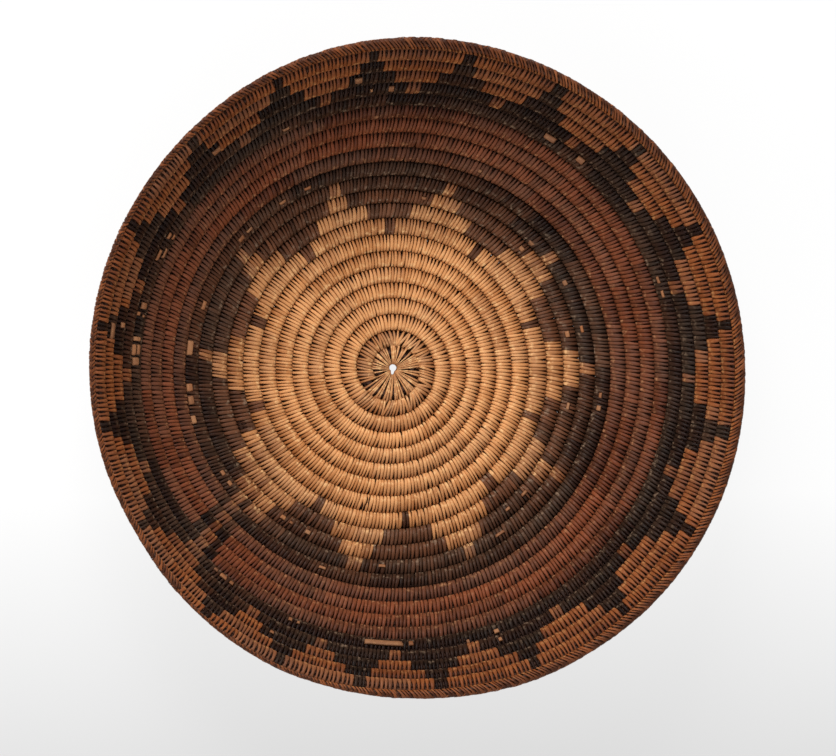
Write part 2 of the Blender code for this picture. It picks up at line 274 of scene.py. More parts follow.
CREST_HEIGHT = 0.0041  # of a row above its coil's middle, where bare splint lies
CREST_RADIUS = 0.0060  # of a row's rounding there
END_DROOP = 0.0006  # by which a bare splint's ends dip
BARE_THICKNESS = 0.00045

# The splints' patterns and finish
FIBRES_PER_MM = (0.22, 2.8, 1)  # a fibre shows about 4.5 mm long and 0.35 mm wide
STAINS_PER_METRE = 34  # a stain is about 30 mm across
WEAR_AND_SHEEN_SPOTS_PER_METRE = 420  # a worn spot, with its painted sheen, is about 2.4 mm across
SHADE_AND_DIRT_SPECKS_PER_METRE = 260  # on the rods, about 4 mm across
FIBRE_TONE = 0.8  # how much the fibres change a splint's tone, against 1 for the splint's own shade
STAIN_TONE = 0.7  # and how much the stains do
TONES = (0.61, 1.49)  # what the three add up to where a splint is darkest and lightest
DUST = "98806A"
WEAR_AND_SHEEN_FROM = (0.55, 0.72)  # the pattern's values from which wear and painted sheen show, and show in full, where a material's bias is 0
WEAR_AND_SHEEN_SHARE = (0.06, 0.9)  # how much of the worn colour, which also stands in for a painted sheen, shows there
SEAM_SHADE_AND_DIRT = 0.85  # how much of a splint's colour the painted seam shade and dirt hide, deep in a seam
FIBRE_GLOSS = (-0.08, 0.14)  # what fibres take from or add to a splint's roughness
FIBRE_DEPTH = 0.0002

random = np.random.default_rng(21)


def rim_share(turn):
    return np.interp(turn, RIM_TURNS, RIM_SHARE)


def tapered_share(turn):
    """The width of the frame's coil at each turn, as a share of its full width."""
    start, end = START_WIDTH / COIL_WIDTH, RIM_END_WIDTH / COIL_WIDTH
    opening = np.clip(turn, 0, 1)
    closing = np.clip((ALL_TURNS - turn) / RIM_TAPER_TURNS, 0, 1)
    return np.minimum(start + (1 - start) * opening, end + (1 - end) * closing)


def width_share(turn):
    """The same for the sewn coil, whose rim is thinner."""
    return tapered_share(turn) * rim_share(turn)


def creep(turn):
    """How far the coil lies outward of its course in the frame, along the wall."""
    angle = PATHWAY_ANGLE + 2 * math.pi * (ALL_TURNS - turn)
    total = np.interp(turn, CREEP_TURNS, CREEP) - np.interp(turn, CREEP_TURNS, SWAY) * np.cos(angle)
    for first, last, fade, middle, reach, amount in UNEVEN:
        outside = np.maximum(np.maximum(first - turn, turn - last), 0) / fade
        aside = ((np.degrees(angle) - middle + 180) % 360 - 180) / reach
        total = total + amount * np.exp(-(outside**2) - aside**2)
    return total


def stretch(turn, across):
    """How much wider than in the frame a coil is spread, towards the one inside it and the one outside it."""
    inside = creep(turn) - creep(turn - 1)
    outside = np.where(turn > ALL_TURNS - 1, 0, creep(turn + 1) - creep(turn))
    return 1 + np.where(across < 0, inside, outside) / ROW_PITCH


def arc_length(turn):
    """Distance along the profile from the axis to the coil's middle."""
    tip = START_HOLE + START_WIDTH / 2
    spared = (COIL_WIDTH - START_WIDTH) / 2
    opening = tip + ROW_PITCH * turn - spared * turn
    wound = tip + ROW_PITCH * turn - spared - COIL_WIDTH * (1 - width_share(turn)) / 2
    wound = wound - COIL_WIDTH * (1 - rim_share(turn - 1))  # the rim's end lies on its own thin start
    return np.where(turn < 1, opening, wound) + creep(turn)


def profile(length):
    """(radius, height, slope) of the coil's middle at each arc length from the axis."""
    radius, height, slope = np.zeros_like(length), np.zeros_like(length), np.zeros_like(length)
    floor = FLOOR_RADIUS * FLOOR_EDGE_SLOPE
    knuckle = KNUCKLE_RADIUS * (KNUCKLE_EDGE_SLOPE - FLOOR_EDGE_SLOPE)
    left = length
    for arc, limit in ((FLOOR_RADIUS, floor), (KNUCKLE_RADIUS, knuckle), (WALL_RADIUS, math.inf)):
        run = np.minimum(left, limit)
        end = slope + run / arc
        radius = radius + arc * (np.sin(end) - np.sin(slope))
        height = height + arc * (np.cos(slope) - np.cos(end))
        left = left - run
        slope = end
    return radius, height + COIL_THICKNESS / 2 - BASE_CUT, slope


def bowl_centre():
    """The middle of the frame's outline, which is on the Z axis. The spiral's own axis is off it."""
    turn = np.linspace(ALL_TURNS - 2, ALL_TURNS, 2 * FRAME_STEPS + 1)[:, None]
    tip = START_HOLE + START_WIDTH / 2
    spared = (COIL_WIDTH - START_WIDTH) / 2
    length = tip + ROW_PITCH * turn - spared - COIL_WIDTH * (1 - tapered_share(turn)) / 2
    radius, _, slope = profile(length)
    across, above = OUTER_CORNERS.T
    radius = radius + across * np.cos(slope) - above * np.sin(slope)
    angle = PATHWAY_ANGLE + 2 * math.pi * (ALL_TURNS - turn)
    x, y = OVALITY * radius * np.cos(angle), radius * np.sin(angle)
    return np.array(((x.min() + x.max()) / 2, (y.min() + y.max()) / 2, 0.0))


CENTRE = bowl_centre()


def coil_points(turn, across, above):
    """Points beside the coil's middle: across runs up the wall, above runs into the bowl."""
    radius, height, slope = profile(arc_length(turn))
    angle = PATHWAY_ANGLE + 2 * math.pi * (ALL_TURNS - turn)
    radius = radius + across * np.cos(slope) - above * np.sin(slope)
    height = height + across * np.sin(slope) + above * np.cos(slope)
    flat = np.stack((OVALITY * radius * np.cos(angle), radius * np.sin(angle), height), axis=-1)
    return flat - CENTRE


def coil_radius(turn):
    return profile(arc_length(turn))[0]


def row_of(turn):
    return np.floor(ALL_TURNS - turn).astype(int)


def azimuth_of(turn):
    return (math.degrees(PATHWAY_ANGLE) + 360 * (ALL_TURNS - turn)) % 360


def turn_at(row, azimuth):
    """The turn at which the coil passes an angle in a row."""
    return ALL_TURNS - row - ((azimuth - math.degrees(PATHWAY_ANGLE)) % 360) / 360


def near(azimuth, places, reach):
    """Whether an angle lies within reach of one of the places."""
    return any(abs((azimuth - place + 180) % 360 - 180) < reach for place in places)


def between_steps():
    """The middles of the gaps between neighbouring black steps."""
    following = BLACK_STEPS[1:] + (BLACK_STEPS[0] + 360,)
    return [(a + b) / 2 for a, b in zip(BLACK_STEPS, following)]


STEP_GAPS = between_steps()


def dye_at(row, azimuth):
    """The dye that the design asks for at a place on the coil."""
    if row in PATHWAY_MIDDLE:
        from_pathway = abs(azimuth - PATHWAY_MIDDLE[row])
        if from_pathway < PATHWAY_REACH:
            return NATURAL
        if 6 <= row <= 9 and from_pathway < PATHWAY_REACH + PATHWAY_BORDER:
            return BLACK
    if row == 12:
        steps = zip(BLACK_STAR, BLACK_STAR_FOOT)
        return BLACK if any(near(azimuth, (place,), reach) for place, reach in steps) else NATURAL
    if row in BLACK_STAR_REACH:
        return BLACK if near(azimuth, BLACK_STAR, BLACK_STAR_REACH[row]) else NATURAL
    if row == 11:
        in_break = BREAK_STAR[0] < azimuth < BREAK_STAR[1]
        return NATURAL if in_break or near(azimuth, NATURAL_POINTS, NATURAL_POINT_REACH) else BLACK
    if row in (5, 10):
        return BLACK
    if 6 <= row <= 9:
        return RED
    if row == 4:
        return NATURAL if near(azimuth, STEP_GAPS, STEP_GAP_REACH) else BLACK
    if row in BLACK_STEP_REACH:
        return BLACK if near(azimuth, BLACK_STEPS, BLACK_STEP_REACH[row]) else NATURAL
    return NATURAL


def linear(code):
    """A colour written as sRGB hex, as the linear RGBA that a shader takes."""
    shares = [int(code[i : i + 2], 16) / 255 for i in (0, 2, 4)]
    return (*(s / 12.92 if s <= 0.04045 else ((s + 0.055) / 1.055) ** 2.4 for s in shares), 1)


def add_node(tree, kind, inputs=None, **settings):
    """Adds a node with its settings. An input is a value, or the socket that it is linked to."""
    node = tree.nodes.new(kind)
    for name, value in settings.items():
        setattr(node, name, value)
    for name, value in (inputs or {}).items():
        if isinstance(value, bpy.types.NodeSocket):
            tree.links.new(value, node.inputs[name])
        else:
            node.inputs[name].default_value = value
    return node


def new_material(name):
    material = bpy.data.materials.new(name)
    material.use_nodes = True
    material.node_tree.nodes.clear()
    return material, material.node_tree


def splint_material(name, fresh, old, shade_and_dirt_colour, worn_and_sheen_colour, wear_and_sheen_bias, roughness, gloss_level):
    """Split sumac, scraped smooth and sewn damp: fine fibres run along each splint, its tone changes from
    stitch to stitch and from splint to splint, seams hold dirt and painted shade, and handling wears the
    crowns, whose worn colour also paints a sheen. Fresh and old are its darkest and lightest tones where the
    colour has kept, and where age or handling changed it."""
    material, tree = new_material(name)
    age, shade, dust, painted_shade_and_dirt, proud = (
        add_node(tree, "ShaderNodeAttribute", attribute_name=mark).outputs["Fac"]
        for mark in ("age", "shade", "dust", "painted_shade_and_dirt", "proud")
    )
    place = add_node(tree, "ShaderNodeTexCoord")
    # The UV map is in millimetres along and across the splint
    fibre_lie = add_node(
        tree, "ShaderNodeMapping", {"Vector": place.outputs["UV"], "Scale": FIBRES_PER_MM}
    )
    fibres = add_node(
        tree,
        "ShaderNodeTexNoise",
        {"Vector": fibre_lie.outputs["Vector"], "W": shade, "Scale": 1.0, "Detail": 3.0},
        noise_dimensions="4D",
    )
    stain = add_node(
        tree,
        "ShaderNodeTexNoise",
        {"Vector": place.outputs["Object"], "Scale": STAINS_PER_METRE, "Detail": 4.0},
    )
    # Spots where the splints show wear, with a painted sheen
    wear_and_sheen_spots = add_node(
        tree,
        "ShaderNodeTexNoise",
        {"Vector": place.outputs["Object"], "Scale": WEAR_AND_SHEEN_SPOTS_PER_METRE, "Detail": 2.0},
    )
    tone = add_node(
        tree,
        "ShaderNodeMath",
        {0: fibres.outputs["Fac"], 1: FIBRE_TONE, 2: shade},
        operation="MULTIPLY_ADD",
    )
    tone = add_node(
        tree,
        "ShaderNodeMath",
        {0: stain.outputs["Fac"], 1: STAIN_TONE, 2: tone.outputs[0]},
        operation="MULTIPLY_ADD",
    )
    tone = add_node(
        tree, "ShaderNodeMapRange", {"Value": tone.outputs[0], "From Min": TONES[0], "From Max": TONES[1]}
    )
    kept, changed = (
        add_node(
            tree,
            "ShaderNodeMix",
            {"Factor": tone.outputs[0], "A": linear(dark), "B": linear(light)},
            data_type="RGBA",
        )
        for dark, light in (fresh, old)
    )
    base = add_node(
        tree,
        "ShaderNodeMix",
        {"Factor": age, "A": kept.outputs["Result"], "B": changed.outputs["Result"]},
        data_type="RGBA",
    )
    dusty = add_node(
        tree,
        "ShaderNodeMix",
        {"Factor": dust, "A": base.outputs["Result"], "B": linear(DUST)},
        data_type="RGBA",
    )
    # Wear on proud places, whose worn colour also paints a sheen there
    wear_and_sheen_mask = add_node(
        tree,
        "ShaderNodeMapRange",
        {
            "Value": wear_and_sheen_spots.outputs["Fac"],
            "From Min": WEAR_AND_SHEEN_FROM[0] - wear_and_sheen_bias,
            "From Max": WEAR_AND_SHEEN_FROM[1] - wear_and_sheen_bias,
            "To Min": WEAR_AND_SHEEN_SHARE[0],
            "To Max": WEAR_AND_SHEEN_SHARE[1],
        },
    )
    wear_and_sheen_mask = add_node(tree, "ShaderNodeMath", {0: wear_and_sheen_mask.outputs[0], 1: proud}, operation="MULTIPLY")
    crown = add_node(
        tree,
        "ShaderNodeMix",
        {"Factor": wear_and_sheen_mask.outputs[0], "A": dusty.outputs["Result"], "B": linear(worn_and_sheen_colour)},
        data_type="RGBA",
    )
    # Painted shade, with dirt: the more sheltered a place, the more it turns to the seam colour
    shade_and_dirt = add_node(tree, "ShaderNodeMath", {0: painted_shade_and_dirt, 1: SEAM_SHADE_AND_DIRT}, operation="MULTIPLY")
    colour = add_node(
        tree,
        "ShaderNodeMix",
        {"Factor": shade_and_dirt.outputs[0], "A": crown.outputs["Result"], "B": linear(shade_and_dirt_colour)},
        data_type="RGBA",
    )
    gloss = add_node(
        tree,
        "ShaderNodeMapRange",
        {
            "Value": fibres.outputs["Fac"],
            "To Min": roughness + FIBRE_GLOSS[0],
            "To Max": roughness + FIBRE_GLOSS[1],
        },
    )
    relief = add_node(
        tree,
        "ShaderNodeBump",
        {"Height": fibres.outputs["Fac"], "Strength": 0.5, "Distance": FIBRE_DEPTH},
    )
    shader = add_node(
        tree,
        "ShaderNodeBsdfPrincipled",
        {
            "Base Color": colour.outputs["Result"],
            "Roughness": gloss.outputs[0],
            "Normal": relief.outputs["Normal"],
            "IOR": 1.5,
            "Specular IOR Level": gloss_level,
        },
    )
    add_node(tree, "ShaderNodeOutputMaterial", {"Surface": shader.outputs["BSDF"]})
    return material


def rod_material():
    """Peeled shoots, dull and dark: all that shows of them is in the gaps, where their dark colour paints the
    gaps' shade, with dust and old oil.
    """
    material, tree = new_material("peeled_sumac_rod")
    place = add_node(tree, "ShaderNodeTexCoord")
    shade_and_dirt = add_node(
        tree,
        "ShaderNodeTexNoise",
        {"Vector": place.outputs["Object"], "Scale": SHADE_AND_DIRT_SPECKS_PER_METRE, "Detail": 4.0},
    )
    # The rods' dark colours paint the shade in the gaps between stitches, mottled with dirt
    colour = add_node(
        tree,
        "ShaderNodeMix",
        {"Factor": shade_and_dirt.outputs["Fac"], "A": linear("221006"), "B": linear("522C16")},
        data_type="RGBA",
    )
    relief = add_node(
        tree, "ShaderNodeBump", {"Height": shade_and_dirt.outputs["Fac"], "Strength": 0.4, "Distance": 0.0003}
    )
    shader = add_node(
        tree,
        "ShaderNodeBsdfPrincipled",
        {"Base Color": colour.outputs["Result"], "Roughness": 0.8, "Normal": relief.outputs["Normal"]},
    )
    add_node(tree, "ShaderNodeOutputMaterial", {"Surface": shader.outputs["BSDF"]})
    return material


def model_splint():
    """One straight splint: a strip with a crowned outer face, cut where it bends. Its length and thickness
    run from 0 to 1, its width from -0.5 to 0.5. Returns its points and faces."""
    bpy.ops.object.select_all(action="DESELECT")
    bpy.ops.mesh.primitive_cube_add(size=1, location=(0.5, 0, 0.5))
    strip = bpy.context.object
    bpy.ops.object.transform_apply(location=True)
    bpy.ops.object.mode_set(mode="EDIT")
    bpy.ops.mesh.select_all(action="DESELECT")
    bpy.ops.object.mode_set(mode="OBJECT")
    for polygon in strip.data.polygons:
        polygon.select = polygon.normal.z > 0.5
    bpy.ops.object.mode_set(mode="EDIT")
    bpy.ops.transform.resize(value=(1, SPLINT_FACE, 1), center_override=(0.5, 0, 1))
    bpy.ops.mesh.select_mode(type="EDGE")
    bpy.ops.mesh.select_all(action="DESELECT")
    bpy.ops.object.mode_set(mode="OBJECT")
    for edge in strip.data.edges:
        a, b = (strip.data.vertices[i].co for i in edge.vertices)
        edge.select = abs(a.x - b.x) > 0.5
    bpy.ops.object.mode_set(mode="EDIT")
    bpy.ops.mesh.subdivide(number_cuts=len(STITCH_PATH) - 2)
    bpy.ops.object.mode_set(mode="OBJECT")
    points = np.array([v.co for v in strip.data.vertices])
    faces = [tuple(p.vertices) for p in strip.data.polygons]
    bpy.data.objects.remove(strip, do_unlink=True)
    return points, faces


SPLINT_POINTS, SPLINT_FACES = model_splint()
SPLINT_STATION = np.rint(SPLINT_POINTS[:, 0] * (len(STITCH_PATH) - 1)).astype(int)


def bend_splints(turns, across, above, sweep, width, thickness):
    """Copies of the splint, one at each turn. Each follows its path across and above the coil's middle,
    swept along the coil, and is as wide and thick as asked. Paths are given for each place on the splint.
    Returns their points and their UV map, in millimetres along and across the splint."""
    shape = (len(turns), len(STITCH_PATH))
    share = width_share(turns)[:, None]
    across = np.broadcast_to(across, shape) * share
    across = across * stretch(turns[:, None], across)
    above = np.broadcast_to(above, shape) * share
    width = np.broadcast_to(width, shape)
    thickness = np.broadcast_to(thickness * share, shape)
    run_x, run_y = np.gradient(across, axis=1), np.gradient(above, axis=1)
    length = np.hypot(run_x, run_y)
    out_x, out_y = -run_y / length, run_x / length
    at = SPLINT_STATION
    rise = SPLINT_POINTS[:, 2] * thickness[:, at]
    side = sweep[:, at] - SPLINT_POINTS[:, 1] * width[:, at]
    radius, _, slope = profile(arc_length(turns))
    reach = radius[:, None] + across[:, at] * np.cos(slope)[:, None]
    turn = turns[:, None] + side / (2 * math.pi * np.maximum(reach, START_HOLE))
    points = coil_points(turn, across[:, at] + out_x[:, at] * rise, above[:, at] + out_y[:, at] * rise)
    points[..., 2] = np.maximum(points[..., 2], 0)  # worn flat where the basket stands
    along = np.cumsum(length, axis=1)
    along[:, 0] = 0
    return points, np.stack((along[:, at], SPLINT_POINTS[:, 1] * width[:, at]), axis=-1) * 1000


def marks_of(count, depth, proud, shade, dust, age):
    """What a material reads at each point of the laid splints: how much painted shade and dirt it takes, and
    how much wear and painted sheen it shows, by its place on the loop, and the tone, dust and age of each
    splint."""
    inner_face = INNER_FACE_SHADE_AND_DIRT + SEAM_EXTRA_SHADE_AND_DIRT * np.clip(depth, 0, 1)
    edge = (1 - SPLINT_POINTS[:, 2]) * inner_face[SPLINT_STATION]
    seam_shade_and_dirt_share = random.uniform(*SEAM_SHADE_SPREAD, count)[:, None] * depth[SPLINT_STATION]
    marks = {"painted_shade_and_dirt": np.clip(seam_shade_and_dirt_share + edge, 0, 1).ravel(), "proud": np.tile(proud[SPLINT_STATION], count)}
    by_splint = {"shade": shade, "dust": dust, "age": age}
    marks.update({name: np.repeat(values, len(SPLINT_POINTS)) for name, values in by_splint.items()})
    return marks


def of_splints(count):
    """A random value for each stitch that stays the same for as long as one splint lasts."""
    return np.repeat(random.random(count), random.integers(*STITCHES_PER_SPLINT, count))[:count]


def splint_tones(count):
    """A tone for each stitch: half of it is its splint's, and half its own."""
    return 0.5 * of_splints(count) + 0.5 * random.random(count)


def make_piece(name, parts, materials, replaced, slot):
    """Joins laid splints into one piece. Each part is (points, UV map, marks, material places)."""
    points = np.concatenate([p[0].reshape(-1, 3) for p in parts])
    flat = np.concatenate([p[1].reshape(-1, 2) for p in parts])
    slots = np.concatenate([p[3] for p in parts])
    each = len(SPLINT_POINTS)
    faces = [tuple(i + k * each for i in face) for k in range(len(slots)) for face in SPLINT_FACES]
    mesh = bpy.data.meshes.new(name)
    mesh.from_pydata(points.tolist(), [], faces)
    for attribute in parts[0][2]:
        values = np.concatenate([p[2][attribute] for p in parts])
        layer = mesh.attributes.new(attribute, "FLOAT", "POINT")
        layer.data.foreach_set("value", values.astype(np.float32))
    corners = np.empty(len(mesh.loops), np.int32)
    mesh.loops.foreach_get("vertex_index", corners)
    uv = mesh.uv_layers.new(name="along_splint")
    uv.data.foreach_set("uv", flat[corners].ravel().astype(np.float32))
    for material in materials:
        mesh.materials.append(material)
    mesh.polygons.foreach_set("material_index", np.repeat(slots, len(SPLINT_FACES)).astype(np.int32))
    mesh.polygons.foreach_set("use_smooth", np.ones(len(faces), bool))
    mesh.update()
    piece = bpy.data.objects.new(name, mesh)
    bpy.context.scene.collection.objects.link(piece)
    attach(piece, "root")
    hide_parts(*replaced)


def stitch_turns(first, last, spacing):
    """Where the stitches of a run sit, and how much of the coil each one covers: the splints are split by
    hand, so that they are wider and narrower, and lie side by side."""
    turns, covers = [], []
    turn = first
    while turn < last:
        cover = spacing * random.uniform(*STITCH_WIDTHS)
        advance = cover / (2 * math.pi * float(coil_radius(np.array(turn))))
        turns.append(turn + advance / 2)
        covers.append(cover)
        turn += advance
    return np.array(turns), np.array(covers)


def lay_stitches(turns, covers, lean, taper=1.0, split=()):
    """Stitches whose front leans by an angle against the radial direction. The back makes up the advance.
    A taper under 1 thins them more towards the row outside. Those that have split at a place on their loop
    leave a small hole there."""
    count = len(turns)
    spacing = covers.mean()
    across, above, share, _, _ = STITCH_PATH.T
    outward = np.clip((across + ROW_PITCH / 2) / ROW_PITCH, 0, 1)
    front = np.arange(len(across)) <= np.argmax(across)
    drift = ROW_PITCH * np.tan(lean + np.radians(random.normal(0, LEAN_SPREAD, count)))[:, None]
    sweep = np.where(front, drift * (outward - 0.5), spacing - drift / 2 - (spacing - drift) * outward)
    plump = random.uniform(*STITCH_THICKNESSES, count)[:, None]
    width = (covers * random.uniform(*STITCH_FILLING, count))[:, None] * share
    width[:, TAPERED] *= taper * random.uniform(*STITCH_TAPERS, (count, 1))
    for stitch, place in split:
        width[stitch, place : place + 2] *= SPLIT_WIDTH
    lift = 1 + random.uniform(-STITCH_LIFT, STITCH_LIFT, count)[:, None] * (share > LIFTED_SHARE)
    return bend_splints(turns, across, above * lift, sweep, width, SPLINT_THICKNESS * plump)


def age_at(dye, row):
    known = sorted(AGEING[dye])
    return np.interp(row, known, [AGEING[dye][place] for place in known])


def lean_of(rows):
    """The angle by which the stitches of each row lean."""
    known = sorted(LEAN)
    return np.radians(np.interp(rows, known, [LEAN[row] for row in known]))


def sewn_run(name, first, last, spacing, taper, palette, replaced, slot):
    """Sews one run of rows in the design's colours. The palette gives a material's place for each dye."""
    materials, place = palette
    turns, covers = stitch_turns(first, last, spacing)
    count = len(turns)
    split = [
        (np.argmin(np.abs(turns - turn_at(row, azimuth))), station)
        for row, azimuth, station in SMALL_HOLES
        if first < turn_at(row, azimuth) < last
    ]
    rows, azimuths = row_of(turns), azimuth_of(turns)
    dyes = [dye_at(row, azimuth) for row, azimuth in zip(rows, azimuths)]
    slots = np.array([place[dye] for dye in dyes])
    points, flat = lay_stitches(turns, covers, lean_of(rows), taper, split)
    dust = DUSTINESS[dyes] * of_splints(count) ** 2
    age = np.array([age_at(dye, row) for dye, row in zip(dyes, rows)])
    age = age * random.uniform(*STITCH_AGES, count) + AGE_SPREAD[dyes] * (of_splints(count) - 0.5)
    age = np.clip(age, 0, 1)
    marks = marks_of(count, STITCH_PATH[:, 3], STITCH_PATH[:, 4], splint_tones(count), dust, age)
    make_piece(name, [(points, flat, marks, slots)], materials, replaced, slot)


def bundled(count, spread):
    """A random value for each stitch that drifts over a handful of neighbours, as where stitches bunch up."""
    return np.convolve(random.normal(0, spread * 2, count + 4), np.full(5, 0.2), mode="valid")


def lay_start():
    """The start: long splints from the hole over the first turn, then a thinner second turn."""
    count = LONG_STITCHES
    way, high, depth = LONG_STITCH_PATH.T
    turns = np.linspace(*LONG_STITCH_TURNS, count, endpoint=False)
    turns = turns + random.uniform(-LONG_STITCH_SHIFT, LONG_STITCH_SHIFT, count)
    middle = coil_radius(turns)
    share = width_share(turns)[:, None]
    azimuth = np.radians(azimuth_of(turns))
    hole = HOLE_RADIUS + HOLE_RIGHT * np.cos(azimuth) + HOLE_UP * np.sin(azimuth)
    hole += HOLE_TAIL * np.clip(np.cos(azimuth - HOLE_TAIL_ANGLE), 0, 1) ** 6
    inner = (hole - middle)[:, None] / share
    outer = LONG_STITCH_REACH + random.uniform(*LONG_STITCH_ENDS, (count, 1))
    outer = np.where(np.arange(len(way)) < UNDERSIDE, outer, LONG_STITCH_FOOT)
    across = inner + (outer - inner) * way
    above = high / 1000 / share * (1 - (1 - share) * LONG_STITCH_FLATTENING)
    angle_step = 2 * math.pi / count * LONG_STITCH_OVERLAP
    reach = middle[:, None] + across * share
    filling = random.uniform(*LONG_STITCH_FILLING, count)[:, None]
    width = np.clip(angle_step * reach, *LONG_STITCH_WIDTHS) * filling
    width[:, UNDERSIDE:] = (UNDERSIDE_OVERLAP * angle_step * reach)[:, UNDERSIDE:]
    alone, together, one_way = LONG_STITCH_WANDER
    wander = random.normal(0, alone, (count, 1)) + bundled(count, together)[:, None] + one_way
    points, flat = bend_splints(turns, across, above, wander * way, width, SPLINT_THICKNESS)
    dust = random.uniform(0.05, 0.3, count)
    age = random.uniform(0.05, 0.25, count)
    # Painted shade and dirt where they lie deep, wear and painted sheen where they lie high
    marks = marks_of(count, depth, np.clip(1 - 2 * depth, 0, 1), splint_tones(count), dust, age)
    first = (points, flat, marks, np.zeros(count, int))
    turns, covers = stitch_turns(LONG_STITCH_TURNS[1], START_TURNS, SECOND_TURN_SPACING)
    count = len(turns)
    alone, together = SECOND_TURN_LEAN
    lean = np.radians(random.normal(0, alone, count) + bundled(count, together))
    points, flat = lay_stitches(turns, SECOND_TURN_FILLING * covers, lean)
    dust = random.uniform(0.05, 0.3, count)
    age = random.uniform(0.0, 0.25, count)
    depth = np.where(np.arange(len(STITCH_PATH)) < 2, SECOND_TURN_SHADE_AND_DIRT, STITCH_PATH[:, 3])
    marks = marks_of(count, depth, STITCH_PATH[:, 4], splint_tones(count), dust, age)
    return first, (points, flat, marks, np.zeros(count, int))


def shortening(turns):
    """How much of their sweep along the coil the rim's strands keep: less where the coil is thin."""
    return np.minimum(width_share(turns) / RIM_SHORTENS, 1)[:, None]


def lay_rim():
    """The rim: stitches that sweep far back as they climb over its edge, and a second, thin set that crosses
    them on the outside, so that the two read as a braid."""
    turns, covers = stitch_turns(ALL_TURNS - 1, ALL_TURNS, RIM_SPACING)
    count = len(turns)
    across, above, share, depth, proud = STITCH_PATH.T
    back, narrowing, least_depth = RIM_PATH.T
    sweep = back / 1000 * shortening(turns) + random.normal(0, RIM_WANDER, (count, 1))
    width = (covers * random.uniform(*RIM_WIDTHS, count))[:, None] * (share * narrowing)
    thickness = SPLINT_THICKNESS * random.uniform(*STITCH_THICKNESSES, count)[:, None]
    points, flat = bend_splints(turns, across, above, sweep, width, thickness)
    dust = 0.1 * random.random(count)
    age = random.uniform(0.0, 0.1, count)
    marks = marks_of(count, np.maximum(depth, least_depth), proud, splint_tones(count), dust, age)
    over = (points, flat, marks, np.zeros(count, int))
    turns, covers = stitch_turns(ALL_TURNS - 1, ALL_TURNS, RIM_SPACING)
    count = len(turns)
    ring = CROSSING_RADIUS + random.uniform(*CROSSING_RAGGEDNESS, (count, 1)) * np.ones(len(STITCH_PATH))
    ring[:, [0, -1]] = CROSSING_END_RADIUS
    across = CROSSING_OUTWARD + ring * np.cos(CROSSING_ANGLES)
    above = ring * np.sin(CROSSING_ANGLES)
    sweep = CROSSING_SWEEP * shortening(turns) + random.normal(0, CROSSING_WANDER, (count, 1))
    width = (covers * random.uniform(*CROSSING_WIDTHS, count))[:, None]
    points, flat = bend_splints(turns, across, above, sweep, width, CROSSING_THICKNESS)
    ends = np.abs(np.linspace(-1, 1, len(STITCH_PATH)))
    dust = 0.1 * random.random(count) ** 2
    age = random.uniform(0.0, 0.5, count)
    # Their ends go down into the seams and take painted shade and dirt, and their middles show wear and a
    # painted sheen
    marks = marks_of(count, 0.2 + 0.7 * ends**4, 0.4 * (1 - ends), splint_tones(count), dust, age)
    return over, (points, flat, marks, np.zeros(count, int))


def lay_bare_ends():
    """Pale splint ends and bare splints, each a copy of the splint laid along the coil."""
    count = len(BARE_ENDS)
    rows, azimuths, length, width = np.array(BARE_ENDS).T
    turns = turn_at(np.rint(rows), azimuths)
    along, aside, outward = SPLINT_POINTS.T
    side = length[:, None] * (0.5 - along)
    turn = turns[:, None] + side / (2 * math.pi * coil_radius(turns)[:, None])
    across = aside * width[:, None] + ((np.rint(rows) - rows) * ROW_PITCH)[:, None]
    bow = CREST_HEIGHT - 0.5 * across**2 / CREST_RADIUS - END_DROOP * (2 * along - 1) ** 8
    points = coil_points(turn, across, bow + outward * BARE_THICKNESS)
    flat = np.stack((along * length[:, None], aside * width[:, None]), axis=-1) * 1000
    shade = random.random(count)
    dust = 0.15 * random.random(count)
    age = random.random(count)
    # Bare ends take no painted seam shade, and a little wear and painted sheen all over
    no_seam_shade = np.zeros(len(STITCH_PATH))
    marks = marks_of(count, no_seam_shade, no_seam_shade + 0.4, shade, dust, age)
    return points, flat, marks, np.zeros(count, int)


def build_foundation(material):
    """The bunch of three rods, two below and one above, unbroken through the whole coil."""
    count = round((ALL_TURNS - ROD_FIRST_TURN) * ROD_STEPS) + 1
    turns = np.linspace(ROD_FIRST_TURN, ALL_TURNS, count)
    share = width_share(turns)
    curve = bpy.data.curves.new("foundation_bunch", "CURVE")
    curve.dimensions = "3D"
    curve.bevel_depth = ROD_RADIUS
    curve.bevel_resolution = 1
    curve.use_fill_caps = True
    for across, above in ROD_PLACES:
        spline = curve.splines.new("POLY")
        spline.points.add(count - 1)
        places = coil_points(turns, across * share, above * share)
        for point, place, size in zip(spline.points, places, share):
            point.co = (*place, 1)
            point.radius = size
    bunch = bpy.data.objects.new("foundation_bunch", curve)
    bpy.context.scene.collection.objects.link(bunch)
    bpy.ops.object.select_all(action="DESELECT")
    bunch.select_set(True)
    bpy.context.view_layer.objects.active = bunch
    bpy.ops.object.convert(target="MESH")
    bunch = bpy.context.object
    bpy.ops.object.mode_set(mode="EDIT")
    bpy.ops.mesh.select_all(action="SELECT")
    bpy.ops.mesh.remove_doubles(threshold=1e-6)
    bpy.ops.mesh.normals_make_consistent(inside=False)
    bpy.ops.object.mode_set(mode="OBJECT")
    bpy.ops.object.shade_smooth()
    bunch.data.materials.clear()
    bunch.data.materials.append(material)
    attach(bunch, "root")
    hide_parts("foundation_rods")


